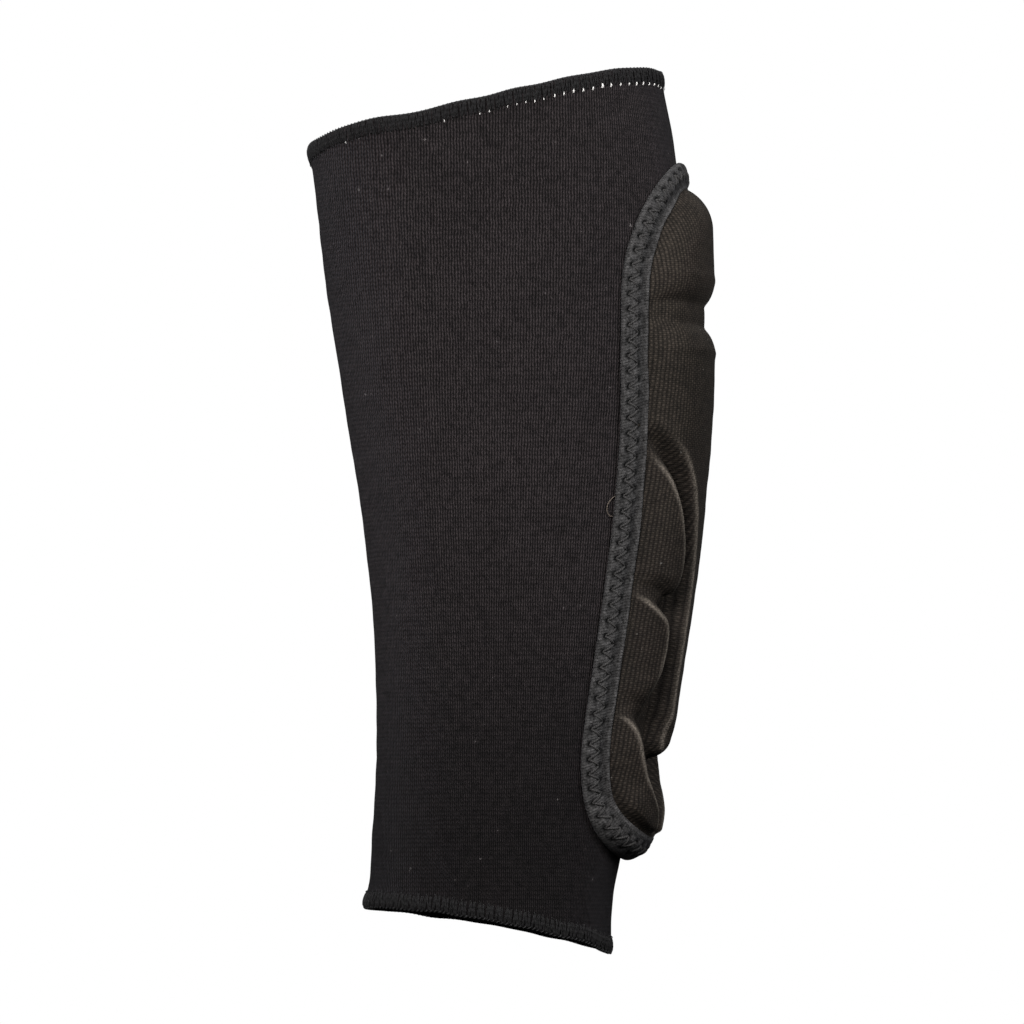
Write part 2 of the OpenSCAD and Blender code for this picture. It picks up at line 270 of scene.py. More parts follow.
def outline(count):
    """The panel's closed edge as evenly spaced (s, z) points, with inward unit normals."""
    a = np.linspace(90, 0, 160)[1:] * math.pi / 180
    wide = PANEL_WIDTHS[0][1]
    deep = BOTTOM_ROUND_Z - PANEL_LOW
    low = np.stack([wide * np.cos(a) ** (2 / BOTTOM_POWER),
                    BOTTOM_ROUND_Z - deep * np.sin(a) ** (2 / BOTTOM_POWER)], 1)
    z = np.linspace(BOTTOM_ROUND_Z, TOP_ROUND_Z, 120)[1:-1]
    side = np.stack([panel_half(z), z], 1)
    wide = PANEL_WIDTHS[-1][1]
    b = np.linspace(0, 90, 160)[:-1] * math.pi / 180
    top = np.stack([wide * np.cos(b), TOP_ROUND_Z + (PANEL_HIGH - TOP_ROUND_Z) * np.sin(b)], 1)
    half = np.concatenate([[[0, PANEL_LOW]], low, side, top, [[0, PANEL_HIGH]]])
    loop = np.concatenate([half, half[-2:0:-1] * [-1, 1]])
    closed = np.concatenate([loop, loop[:1]])
    run = np.concatenate([[0], np.cumsum(np.linalg.norm(np.diff(closed, axis=0), axis=1))])
    d = np.linspace(0, run[-1], count, endpoint=False)
    even = np.stack([np.interp(d, run, closed[:, k]) for k in (0, 1)], 1)
    even = smooth(even, 0, max(1.0, count / 260), True)
    along = np.roll(even, -1, 0) - np.roll(even, 1, 0)
    inward = unit(np.stack([-along[:, 1], along[:, 0]], 1))
    return even, inward, run[-1]


# ---- The cells' relief ----

def rounded(points):
    """A closed outline with its corners cut into curves."""
    p = np.array(points, float)
    for _ in range(3):
        q = np.roll(p, -1, 0)
        p = np.stack([0.8 * p + 0.2 * q, 0.2 * p + 0.8 * q], 1).reshape(-1, 2)
    return p


def inside_distance(s, z, points):
    """Distance to a closed outline: positive inside it, negative outside."""
    shape = s.shape
    s, z = s.ravel(), z.ravel()
    near = np.full(s.shape, 1e9)
    inside = np.zeros(s.shape, bool)
    for (ax, az), (bx, bz) in zip(points, np.roll(points, -1, 0)):
        dx, dz = bx - ax, bz - az
        t = np.clip(((s - ax) * dx + (z - az) * dz) / (dx * dx + dz * dz + 1e-12), 0, 1)
        near = np.minimum(near, np.hypot(s - ax - t * dx, z - az - t * dz))
        crosses = (az > z) != (bz > z)
        inside ^= crosses & (s < dx * (z - az) / (dz if abs(dz) > 1e-12 else 1e-12) + ax)
    return np.where(inside, near, -near).reshape(shape)


OUTLINES = {name: rounded(points) for name, points in CELLS.items()}
PANEL_EDGE = outline(220)[0]


def tape_distance(s, z):
    """How far (s, z) lies inside the panel's edge."""
    return inside_distance(np.asarray(s, float), np.asarray(z, float), PANEL_EDGE)


def ramp(x, low, high):
    t = np.clip((x - low) / (high - low), 0, 1)
    return t * t * (3 - 2 * t)


def step(d, r):
    t = np.clip(d / r, 0, 1)
    return np.sqrt(np.maximum(0, 1 - (1 - t) ** 2))


# Where each cell's lower end starts and stops softening (z), and the extra rounding there
SOFT_ENDS = {"foam_top": (200, 190, 0.0), "foam_centre": (66, 56, 5.5), "upper": (113, 102, 4.0),
             "middle": (79, 68, 4.0), "lower": (20, 10, 0.0)}


def relief(s, z, inward):
    """Height of the cells above the channels, as a share of the full height."""
    across = np.abs(s)
    inner_round = 2.7 + 6.5 * ramp(z, 150, 178)
    outer_round = 11.0 - 8.2 * ramp(-z, -46, -34)
    full = (1 - 0.05 * ramp(z, 172, 192) - 0.06 * ramp(-z, -100, -70)
            + 0.1 * ramp(-z, -46, -36))
    rise = np.clip((inward - BINDING_W - 0.1) / outer_round, 0, 1)
    outer = (1 - (1 - rise) ** 2) ** 0.8
    top = 0.62 * outer * ramp(across, 13, 19) * ramp(-z, -135, -112)
    for name, points in OUTLINES.items():
        depth = inside_distance(across, z, points)
        soft = ramp(-z, -SOFT_ENDS[name][0], -SOFT_ENDS[name][1])
        if name in ("upper", "middle"):
            soft = soft * ramp(across, 10.5, 15)
        reach = inner_round + SOFT_ENDS[name][2] * soft
        crest = 1 + 0.05 * (1 - soft) * np.exp(-((depth - reach) / 1.1) ** 2)
        top = np.maximum(top, step(depth, reach) * outer * crest * full)
    return top


def end_lift(z, inward):
    """How far the panel's lower end stands up, where the tape climbs the foam's end."""
    past = np.maximum(inward - BINDING_W, 0)
    up = ramp(past - z, -(PANEL_LOW + 20), -(PANEL_LOW + 4)) * (1 - ramp(past, 1, 7))
    return END_RISE * up * np.clip(inward / BINDING_W, 0, 1) ** 0.9


def cover_height(s, z):
    """Height of the canvas above the knit."""
    s, z = np.broadcast_arrays(np.asarray(s, float), np.asarray(z, float))
    inward = tape_distance(s, z)
    share = relief(s, z, inward)
    bridge = 0.56 * np.exp(-((z - GROOVE_Z) / 6.0) ** 4)
    share = np.maximum(share, bridge * ramp(inward, BINDING_W - 1, BINDING_W + 10))
    for middle in DIMPLES_Z:
        dimple = np.exp(-((z - middle) / 4.5) ** 2) * ramp(np.abs(s), 11, 15)
        share = np.maximum(share, 0.5 * dimple * ramp(inward, BINDING_W - 1, BINDING_W + 7))
    lift = end_lift(z, inward) * (1 + 0.1 * ramp(inward, BINDING_W + 0.1, BINDING_W + 1))
    return COVER_FLOOR + np.maximum(CELL_H * share, lift)


def crest_highlight_share(s, z):
    """Share from 0 to 1 of the painted highlight, a paler line along the cells' inner crests where
    they catch the light.
    """
    across = np.abs(s)
    inside = ramp(tape_distance(s, z), BINDING_W + 0.5, BINDING_W + 4)
    crest_highlight = 0
    for name, points in OUTLINES.items():
        if name != "foam_top":
            depth = inside_distance(across, z, points)
            hard = 1 - ramp(-z, -SOFT_ENDS[name][0], -SOFT_ENDS[name][1]) * ramp(across, 10, 13)
            crest_highlight = np.maximum(crest_highlight, hard * np.exp(-((depth - 2.5) / 0.5) ** 2))
    return crest_highlight * inside * ramp(-z, -150, -136)


# ---- Mesh builders ----

def new_mesh(name, points, faces, uvs=None):
    """A mesh object. uvs holds one (u, v) for each face corner."""
    mesh = bpy.data.meshes.new(name)
    faces = np.asarray(faces, np.int32)
    mesh.vertices.add(len(points))
    mesh.vertices.foreach_set("co", np.asarray(points, np.float32).ravel())
    mesh.loops.add(faces.size)
    mesh.loops.foreach_set("vertex_index", faces.ravel())
    mesh.polygons.add(len(faces))
    corners = faces.shape[1]
    mesh.polygons.foreach_set("loop_start", np.arange(len(faces), dtype=np.int32) * corners)
    mesh.update(calc_edges=True)
    mesh.validate()
    if uvs is not None:
        layer = mesh.uv_layers.new(name="cloth")
        layer.data.foreach_set("uv", np.asarray(uvs, np.float32).ravel())
    mesh.polygons.foreach_set("use_smooth", np.full(len(mesh.polygons), True))
    obj = bpy.data.objects.new(name, mesh)
    bpy.context.scene.collection.objects.link(obj)
    return obj


def grid_faces(rows, columns, wrap_rows=False, wrap_columns=False):
    r = np.arange(rows if wrap_rows else rows - 1)
    c = np.arange(columns if wrap_columns else columns - 1)
    r, c = [x.ravel() for x in np.meshgrid(r, c, indexing="ij")]
    r2, c2 = (r + 1) % rows, (c + 1) % columns
    return np.stack([r * columns + c, r2 * columns + c, r2 * columns + c2,
                     r * columns + c2], 1)


def grid_uvs(u, v):
    """Corner uvs for grid_faces; u and v have one row or column more where it wraps."""
    rows, columns = u.shape
    r, c = [x.ravel() for x in np.meshgrid(np.arange(rows - 1), np.arange(columns - 1),
                                           indexing="ij")]
    pick = [(r, c), (r + 1, c), (r + 1, c + 1), (r, c + 1)]
    return np.stack([np.stack([u[p], v[p]], -1) for p in pick], 1)


def tubes(name, paths, radius, sides=6, closed=False):
    """Round threads along paths (count, points, 3), each with its own end caps."""
    paths = np.asarray(paths, float)
    count, steps, _ = paths.shape
    if closed:
        along = unit(np.roll(paths, -1, 1) - np.roll(paths, 1, 1))
    else:
        along = unit(np.gradient(paths, axis=1))
    side = np.zeros_like(paths)
    side[:, 0] = unit(np.cross(along[:, 0], [0.31, 0.2, 0.93]))
    for k in range(1, steps):
        flat = side[:, k - 1] - along[:, k] * (side[:, k - 1] * along[:, k]).sum(-1, keepdims=True)
        side[:, k] = unit(flat)
    up = np.cross(along, side)
    radius = np.broadcast_to(np.asarray(radius, float), (count, steps))
    turn = np.arange(sides) * 2 * math.pi / sides
    ring = (side[:, :, None] * np.cos(turn)[:, None] + up[:, :, None] * np.sin(turn)[:, None])
    points = paths[:, :, None] + ring * radius[:, :, None, None]
    if closed:
        faces = grid_faces(steps, sides, wrap_rows=True, wrap_columns=True)
        u = np.broadcast_to(np.arange(steps + 1)[:, None] * 1.0, (steps + 1, sides + 1))
    else:
        faces = grid_faces(steps, sides, wrap_columns=True)
        u = np.broadcast_to(np.arange(steps)[:, None] * 1.0, (steps, sides + 1))
    v = np.broadcast_to(np.arange(sides + 1)[None] / sides, u.shape)
    uvs = grid_uvs(u, v)
    per = steps * sides
    all_points = points.reshape(count, per, 3)
    all_faces = faces[None] + (np.arange(count) * per)[:, None, None]
    all_uvs = np.broadcast_to(uvs, (count,) + uvs.shape)
    obj = new_mesh(name, all_points.reshape(-1, 3), all_faces.reshape(-1, 4),
                   all_uvs.reshape(-1, 2))
    if not closed:
        close_ends(obj)
    return obj


def close_ends(obj):
    """Fills the open ends of a mesh's tubes."""
    bm = bmesh.new()
    bm.from_mesh(obj.data)
    bmesh.ops.holes_fill(bm, edges=[e for e in bm.edges if e.is_boundary], sides=16)
    for f in bm.faces:
        f.smooth = True
    bm.to_mesh(obj.data)
    bm.free()


# ---- Materials ----

class Nodes:
    """A small writer of shader nodes for one material."""

    def __init__(self, name):
        self.material = bpy.data.materials.new(name)
        self.material.use_nodes = True
        self.tree = self.material.node_tree
        self.tree.nodes.clear()
        self.shader = self.tree.nodes.new("ShaderNodeBsdfPrincipled")
        out = self.tree.nodes.new("ShaderNodeOutputMaterial")
        self.tree.links.new(self.shader.outputs[0], out.inputs[0])

    def put(self, socket, value):
        if isinstance(value, bpy.types.NodeSocket):
            self.tree.links.new(value, socket)
        elif value is not None:
            socket.default_value = value

    def math(self, operation, a, b=None, clamp=False):
        node = self.tree.nodes.new("ShaderNodeMath")
        node.operation = operation
        node.use_clamp = clamp
        for socket, value in zip(node.inputs, (a, b)):
            self.put(socket, value)
        return node.outputs[0]

    def times(self, a, b, clamp=False):
        return self.math("MULTIPLY", a, b, clamp)

    def add(self, a, b, clamp=False):
        return self.math("ADD", a, b, clamp)

    def minus(self, a, b):
        return self.math("SUBTRACT", a, b)

    def sine(self, value, halves=2):
        """A wave with this many half turns for each unit of value."""
        return self.math("SINE", self.times(value, halves * math.pi))

    def ribs(self, value, halves=2):
        """Rounded ribs, one for each half turn of the wave."""
        return self.math("ABSOLUTE", self.sine(value, halves))

    def uv(self):
        node = self.tree.nodes.new("ShaderNodeUVMap")
        node.uv_map = "cloth"
        split = self.tree.nodes.new("ShaderNodeSeparateXYZ")
        self.tree.links.new(node.outputs[0], split.inputs[0])
        return split.outputs[0], split.outputs[1]

    def place(self):
        return self.tree.nodes.new("ShaderNodeTexCoord").outputs["Object"]

    def attribute(self, name):
        node = self.tree.nodes.new("ShaderNodeAttribute")
        node.attribute_name = name
        return node.outputs["Fac"]

    def noise(self, scale, detail=3.0, rough=0.6):
        node = self.tree.nodes.new("ShaderNodeTexNoise")
        node.inputs["Scale"].default_value = scale
        node.inputs["Detail"].default_value = detail
        node.inputs["Roughness"].default_value = rough
        self.put(node.inputs["Vector"], self.place())
        return node.outputs["Fac"]

    def range(self, value, a, b, c, d):
        node = self.tree.nodes.new("ShaderNodeMapRange")
        for socket, x in zip(node.inputs, (value, a, b, c, d)):
            self.put(socket, x)
        return node.outputs[0]

    def fibre(self, scale, detail=2):
        """Fine hairs, from 0 to 1."""
        return self.range(self.noise(scale, detail, 0.7), 0.36, 0.64, 0, 1)

    def mottle(self, scale, detail, low, high):
        """Soft patches that go from low to high."""
        return self.range(self.noise(scale, detail), 0.3, 0.7, low, high)

    def jitter(self, scale, size):
        """Noise around 0."""
        return self.times(self.minus(self.noise(scale, 2), 0.5), size)

    def mix(self, factor, a, b):
        node = self.tree.nodes.new("ShaderNodeMix")
        node.data_type = "RGBA"
        self.put(node.inputs[0], factor)
        self.put(node.inputs[6], a)
        self.put(node.inputs[7], b)
        return node.outputs[2]

    def lint(self, colour, scale, rarity, strength, tint):
        """Adds small pale specks of lint."""
        speck = self.math("GREATER_THAN", self.noise(scale, 1, 0.4), rarity)
        return self.mix(self.times(speck, strength), colour, tint)

    def bump(self, height, distance, strength=1.0, after=None):
        node = self.tree.nodes.new("ShaderNodeBump")
        node.inputs["Strength"].default_value = strength
        node.inputs["Distance"].default_value = distance
        self.put(node.inputs["Height"], height)
        if after is not None:
            self.put(node.inputs["Normal"], after)
        return node.outputs[0]

    def finish(self, colour, normal=None, roughness=0.9, specular=0.25, sheen=0.0,
               sheen_roughness=0.5, sheen_tint=(1, 1, 1, 1)):
        s = self.shader.inputs
        self.put(s["Base Color"], colour)
        self.put(s["Roughness"], roughness)
        s["Specular IOR Level"].default_value = specular
        s["Sheen Weight"].default_value = sheen
        s["Sheen Roughness"].default_value = sheen_roughness
        s["Sheen Tint"].default_value = sheen_tint
        if normal is not None:
            self.put(s["Normal"], normal)
        return self.material


def knit_material():
    """Stocking stitch: columns of V shapes, one unit of u wide and one unit of v tall."""
    n = Nodes("knit")
    u, v = n.uv()
    across = n.math("FRACT", n.add(u, n.jitter(300, 0.5)))
    leg = n.math("ABSOLUTE", n.minus(across, 0.5))
    ridge = n.math("SINE", n.times(leg, 2 * math.pi), clamp=True)
    phase = n.add(n.add(v, n.jitter(260, 0.6)), n.times(leg, 1.5))
    wave = n.math("COSINE", n.times(phase, 2 * math.pi))
    loop = n.add(n.times(wave, 0.24), 0.72)
    stitch = n.times(n.math("POWER", ridge, 1.7), loop)
    fibre = n.fibre(1900)
    patch = n.mottle(520, 2, 0.55, 1.35)
    tone = n.times(n.add(n.times(stitch, 1.15), n.times(fibre, 0.12)), patch)
    broad = n.mottle(24, 4, 0.85, 1.15)
    # Painted shade: the cloth is darkened towards the wrist and a little at the elbow, in place of
    # the light falling off there
    tone = n.times(tone, n.range(v, 16, 84, 0.38, 1.0))
    tone = n.times(tone, n.range(v, 138, 180, 1.0, 0.84))
    colour = n.mix(n.times(tone, broad, clamp=True), (0.0003, 0.0003, 0.0003, 1),
                   (0.037, 0.0307, 0.0322, 1))
    colour = n.lint(colour, 520, 0.805, 0.6, (0.14, 0.13, 0.13, 1))
    normal = n.bump(n.noise(60, 3), 0.0006, 0.35)
    normal = n.bump(n.add(stitch, n.times(fibre, 0.2)), 0.0005, 1.0, normal)
    return n.finish(colour, normal, n.range(fibre, 0, 1, 0.82, 0.98), 0.1, 0.03, 0.45,
                    (0.8, 0.78, 0.9, 1))


def canvas_material():
    """Plain weave, one thread for each half unit of u and v."""
    n = Nodes("canvas")
    u, v = n.uv()
    u = n.add(u, n.jitter(300, 0.25))
    v = n.add(v, n.jitter(340, 0.25))
    warp = n.ribs(u)
    weft = n.ribs(v)
    over = n.add(n.times(n.times(n.sine(u), n.sine(v)), 0.5), 0.5)
    weave = n.add(n.times(warp, over), n.times(n.times(weft, 0.62), n.minus(1.0, over)))
    fibre = n.fibre(1500)
    tone = n.add(n.times(n.math("POWER", weave, 1.8), 1.45), n.times(fibre, 0.26))
    # Painted shade: the lower half of the panel is darkened, in place of the light falling more on
    # the top
    tone = n.times(tone, n.range(v, 100, 215, 0.54, 0.95))
    tone = n.times(tone, n.mottle(420, 2, 0.6, 1.3))
    broad = n.mottle(34, 3, 0.85, 1.15)
    colour = n.mix(n.times(tone, broad, clamp=True), (0.0012, 0.0009, 0.0007, 1),
                   (0.039, 0.0313, 0.025, 1))
    # Painted highlight: the crests are paled where they catch the light
    crest_highlight = n.times(n.attribute("crest_highlight"), n.range(fibre, 0, 1, 0.25, 0.8))
    colour = n.mix(crest_highlight, colour, (0.19, 0.165, 0.14, 1))
    colour = n.lint(colour, 610, 0.80, 0.5, (0.16, 0.15, 0.14, 1))
    normal = n.bump(n.noise(90, 3), 0.0005, 0.3)
    normal = n.bump(n.add(weave, n.times(fibre, 0.3)), 0.00022, 0.8, normal)
    return n.finish(colour, normal, n.range(weave, 0, 1, 0.9, 0.72), 0.14, 0.02, 0.4,
                    (0.95, 0.88, 0.8, 1))


def tape_material():
    """Brushed elastic tape: fine ribs along its length, short fuzz, and painted shade darkening the
    needle pits and the groove by the bead.
    """
    n = Nodes("tape")
    u, v = n.uv()
    rib = n.ribs(v, 8)
    slub = n.ribs(n.add(u, n.times(v, 2.2)), 1 / 0.9)
    fuzz = n.range(n.noise(1150, 3, 0.75), 0.34, 0.66, 0, 1)
    patch = n.mottle(330, 3, 0.6, 1.3)
    tone = n.add(n.times(fuzz, 0.62), n.times(rib, 0.12))
    tone = n.times(n.add(tone, n.times(slub, 0.22)), patch)
    # Painted shade: darkened in the needle pits and the groove by the bead, and a little over the
    # inner band
    tone = n.times(tone, n.minus(1.0, n.attribute("pits_and_painted_shade")), clamp=True)
    colour = n.mix(tone, (0.0008, 0.0008, 0.0008, 1), (0.088, 0.086, 0.087, 1))
    height = n.add(n.times(fuzz, 0.7), n.times(slub, 0.3))
    normal = n.bump(patch, 0.0004, 0.5)
    normal = n.bump(height, 0.0004, 0.9, normal)
    return n.finish(colour, normal, 0.93, 0.1, 0.04, 0.4, (0.9, 0.9, 1.0, 1))


def thread_material(name, dark, light, sheen, twist):
    """Twisted sewing thread: plies slanting round the tube."""
    n = Nodes(name)
    u, v = n.uv()
    ply = n.ribs(n.add(n.times(u, twist), v))
    fuzz = n.noise(1900, 3, 0.7)
    tone = n.add(n.times(ply, 0.5), n.times(fuzz, 0.6), clamp=True)
    normal = n.bump(n.add(ply, fuzz), 0.00012, 0.8)
    return n.finish(n.mix(tone, dark + (1,), light + (1,)), normal, 0.85, 0.15, sheen, 0.4)


def lining_material():
    """Smooth tricot lining with fine ribs."""
    n = Nodes("lining")
    rib = n.ribs(n.uv()[0])
    fuzz = n.noise(1400, 3, 0.6)
    colour = n.mix(n.add(n.times(rib, 0.5), n.times(fuzz, 0.5)), (0.006, 0.006, 0.007, 1),
                   (0.03, 0.03, 0.032, 1))
    return n.finish(colour, n.bump(rib, 0.0002, 0.6), 0.9, 0.2, 0.2)


def foam_material():
    """Closed-cell foam: small round pores in a dull grey skin."""
    n = Nodes("foam")
    pores = n.tree.nodes.new("ShaderNodeTexVoronoi")
    pores.inputs["Scale"].default_value = 1100
    n.tree.links.new(n.place(), pores.inputs["Vector"])
    depth = pores.outputs["Distance"]
    colour = n.mix(n.times(depth, 1.4, clamp=True), (0.02, 0.02, 0.021, 1),
                   (0.075, 0.075, 0.078, 1))
    return n.finish(colour, n.bump(depth, 0.0003, 0.6), 0.8, 0.3)


KNIT = knit_material()
CANVAS = canvas_material()
TAPE = tape_material()
OVERLOCK = thread_material("overlock", (0.0012, 0.0012, 0.0012), (0.0165, 0.016, 0.017), 0.03, 0.35)
DARK_THREAD = thread_material("dark_thread", (0.004, 0.004, 0.004), (0.06, 0.058, 0.058), 0.02, 0.5)
PALE_THREAD = thread_material("pale_thread", (0.42, 0.41, 0.40), (0.86, 0.85, 0.83), 0.2, 0.4)
GREY_THREAD = thread_material("grey_thread", (0.003, 0.003, 0.003), (0.034, 0.034, 0.036), 0.04, 0.4)
BEIGE_THREAD = thread_material("beige_thread", (0.05, 0.04, 0.032), (0.17, 0.14, 0.115), 0.1, 0.4)
LINING = lining_material()
FOAM = foam_material()


def dress(obj, materials, slot, *nodes):
    """Gives a piece its materials and its body, and hides the CAD nodes it stands for; slot is not
    used.
    """
    for material in materials:
        obj.data.materials.append(material)
    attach(obj, "root")
    if nodes:
        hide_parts(*nodes)
    return obj


# ---- Sleeve ----

def sleeve_swell(a, v):
    """Small in and out movement of the knit along its normal, in metres."""
    z = 260 * v
    swell = 0.38 * noise(3, np.cos(a) * 1.3, np.sin(a) * 1.3, z / 95)
    swell = swell + 0.16 * noise(5, np.cos(a) * 3.4, np.sin(a) * 3.4, z / 34)
    swell = swell + 0.07 * noise(9, np.cos(a) * 4, np.sin(a) * 4, z / 9)
    back = 0.5 - 0.5 * np.cos(a)
    wrist = np.exp(-(v * 262 / 7.0) ** 2)
    elbow = np.exp(-((1 - v) * 252 / 6.0) ** 2)
    flare = wrist * (0.35 + 0.9 * back ** 6) + elbow * (0.35 + 0.55 * back ** 8)
    flare = flare - 1.5 * np.exp(-((1 - v) * 252 / 11.0) ** 2) * (1 - back) ** 4
    waves = wrist * 0.35 * noise(12, np.cos(a) * 2.2, np.sin(a) * 2.2)
    waves = waves + elbow * 0.3 * noise(15, np.cos(a) * 2.5, np.sin(a) * 2.5)
    return (swell * (1 - 0.5 * wrist) + flare + waves) * MM


def knit_surface(a, v, h=0.0):
    """The finished knit surface, moved out by h metres."""
    a, v = np.broadcast_arrays(np.asarray(a, float), np.asarray(v, float))
    normal = wall_normal(a, v)
    return plain_wall(a, v) + normal * (sleeve_swell(a, v) + h)[..., None]


def edge_point(a, e, h, way):
    """A point e millimetres in from an edge, h metres out; way is 1 at the wrist."""
    low, high = edge_heights(a)
    share = e * MM / (high - low)
    sag = edge_sag(a, way)
    p = knit_surface(a, np.clip(share if way > 0 else 1 - share, 0, 1), h)
    beyond = np.minimum(e, 0) * MM
    p[..., 2] += way * beyond + sag
    return p


def edge_sag(a, way):
    """How far the edge at angle a lies above its plane, in metres; way is 1 at the wrist."""
    def around(middle, width):
        return np.exp(-(1 - np.cos(a - middle)) / width)

    waves = way * 0.35 * noise(21 + way, np.cos(a) * 2.6, np.sin(a) * 2.6)
    if way > 0:
        waves = waves + 1.2 * (np.maximum(0, -np.sin(a)) ** 2 - 0.3) - 1.4 * around(0.2, 0.16)
    else:
        waves = waves + 1.5 * around(-2.6, 0.06) - 0.8 * around(-1.6, 0.2)
    return waves * MM


def make_sleeve():
    """The knit tube, with both its faces and rounded edges."""
    around, up, lining_rows = 288, 190, 44
    a = np.arange(around) * 2 * math.pi / around
    v = np.linspace(0, 1, up)
    w = np.linspace(1, 0, lining_rows)
    aa, vv = np.meshgrid(a, v, indexing="ij")
    outer = knit_surface(aa, vv)
    sags = [edge_sag(a, way) for way in (1, -1)]

    def settle(points, share):
        low = np.exp(-(share * 30) ** 2)
        high = np.exp(-((1 - share) * 30) ** 2)
        points[..., 2] += low * sags[0][:, None] + high * sags[1][:, None]
        return points

    outer = settle(outer, vv)
    ai, wi = np.meshgrid(a, w, indexing="ij")
    inner = settle(knit_surface(ai, wi, -KNIT_T * MM), wi)
    rim_a = np.repeat(a[:, None], 3, 1)
    bulge = np.array([0.25, 0.5, 0.75])
    top = settle(knit_surface(rim_a, np.ones_like(rim_a)) * (1 - bulge)[:, None]
                 + knit_surface(rim_a, np.ones_like(rim_a), -KNIT_T * MM) * bulge[:, None],
                 np.ones_like(rim_a))
    top[..., 2] += np.sin(bulge * math.pi) * 0.6 * MM
    low = settle(knit_surface(rim_a, np.zeros_like(rim_a), -KNIT_T * MM) * (1 - bulge)[:, None]
                 + knit_surface(rim_a, np.zeros_like(rim_a)) * bulge[:, None],
                 np.zeros_like(rim_a))
    low[..., 2] -= np.sin(bulge * math.pi) * 0.6 * MM
    rows = np.concatenate([outer, top, inner, low], 1)
    columns = rows.shape[1]
    faces = grid_faces(around, columns, wrap_rows=True, wrap_columns=True)
    height = rows[..., 2] / MM / COURSE
    height = np.concatenate([height, height[:1]])
    height = np.concatenate([height, height[:, :1]], 1)
    wale = np.linspace(0, WALES_ROUND, around + 1)
    run = np.linalg.norm(np.roll(outer[:, up // 2], -1, 0) - outer[:, up // 2], axis=1)
    wale[1:] = np.cumsum(run) / run.sum() * WALES_ROUND
    u = np.broadcast_to(wale[:, None], height.shape)
    return new_mesh("knit_sleeve", rows.reshape(-1, 3), faces, grid_uvs(u, height))


SLEEVE = dress(make_sleeve(), [KNIT], "knit", "sleeve")


# ---- Overlocked edges ----

def stitch_angles(way):
    """Angle of each stitch round an edge, the mean step between them, and their number."""
    a = np.linspace(0, 2 * math.pi, 721)
    line = edge_point(a, np.zeros_like(a), 0.0, way)
    across = np.abs((a[1:] + math.pi) % (2 * math.pi) - math.pi)
    stretch = 1 + (way < 0) * 0.35 * np.exp(-(across / 0.75) ** 2)
    steps = np.linalg.norm(np.diff(line, axis=0), axis=1) / stretch
    run = np.concatenate([[0], np.cumsum(steps)])
    count = int(round(run[-1] / MM / NEEDLE_PITCH))
    return np.interp(np.arange(count) * run[-1] / count, run, a), 2 * math.pi / count, count


def make_overlock(name, way):
    """Pairs of thread that fan out from each needle stitch and wrap over the edge."""
    base, pitch, count = stitch_angles(way)
    rng = np.random.default_rng(40 + way)
    outer = [(4.3, -0.05), (3.7, 0.26), (2.8, 0.4), (1.7, 0.46), (0.6, 0.38), (-0.05, 0.05)]
    over = [(-0.32, -0.75), (-0.1, -1.5), (0.6, -1.85), (1.8, -1.9), (3.2, -1.9), (4.3, -1.6)]
    profile = np.array(outer + over)
    legs = [(0.0, -0.3), (0.0, 0.3), (0.5, -0.06)]
    paths = []
    for foot, lean in legs:
        for ply in (-0.5, 0.5):
            shift = foot * pitch + ply * 0.13 * pitch
            drift = np.concatenate([np.linspace(0, 1, len(outer)),
                                    np.linspace(1, 0.4, len(over))])
            a = (base + shift)[:, None] + lean * pitch * drift
            a = a + rng.normal(0, 0.035, (count, 1)) * pitch
            lift = 1 + rng.normal(0, 0.15, (count, 1))
            e = profile[:, 0] + rng.normal(0, 0.15, (count, 1)) * (profile[:, 0] > 3)
            h = np.where(profile[:, 1] > 0, profile[:, 1] * lift, profile[:, 1])
            paths.append(edge_point(a, e, h * MM, way))
    return tubes(name, np.concatenate(paths), OVERLOCK_R * MM)


def make_rim_chain(name, way):
    """The looper thread that runs along the very edge in a shallow chain of waves."""
    base, _, count = stitch_angles(way)
    along = np.arange(count * 10) / 10
    a = np.interp(along, np.arange(count + 1), np.append(base, 2 * math.pi))
    turn = along * 2 * math.pi
    paths = []
    for phase, depth in ((0, -0.15), (math.pi, -0.75)):
        e = -0.12 + 0.3 * np.sin(2 * turn + phase)
        h = (depth + 0.3 * np.cos(2 * turn + phase)) * MM
        paths.append(edge_point(a, e, h, way))
    return tubes(name, np.array(paths), CHAIN_R * MM, closed=True)


def make_needle_stitches(name, way, size_at):
    """Small stitches at the foot of the overlock; the faintest take the second material."""
    base, pitch, count = stitch_angles(way)
    rng = np.random.default_rng(60 + way)
    across = np.abs((np.degrees(base) + 180) % 360 - 180)
    shown = np.clip(size_at(across, rng.random(count)), 0, 1)[:, None]
    t = np.linspace(0, 1, 6)
    reach = 0.35 + 0.55 * shown
    a = base[:, None] + rng.normal(0, 0.04, (count, 1)) * pitch + 0 * t
    e = NEEDLE_DOWN + 0.35 - 2 * reach * t + rng.normal(0, 0.08, (count, 1))
    h = -0.2 + 0.62 * np.sin(math.pi * t) ** 0.8 + 0 * a
    paths = edge_point(a, e, h * MM, way)
    plump = np.interp(t, [0, 0.15, 0.35, 1], [0.2, 0.42, 0.38, 0.08])
    size = plump * (0.3 + 0.62 * shown) * (1 + rng.normal(0, 0.08, (count, 1)))
    sides = 8
    obj = tubes(name, paths, size * MM, sides)
    owner = np.array([p.vertices[0] for p in obj.data.polygons]) // (len(t) * sides)
    dull = (shown[np.minimum(owner, count - 1), 0] < 0.12).astype(np.int32)
    obj.data.polygons.foreach_set("material_index", dull)
    return obj


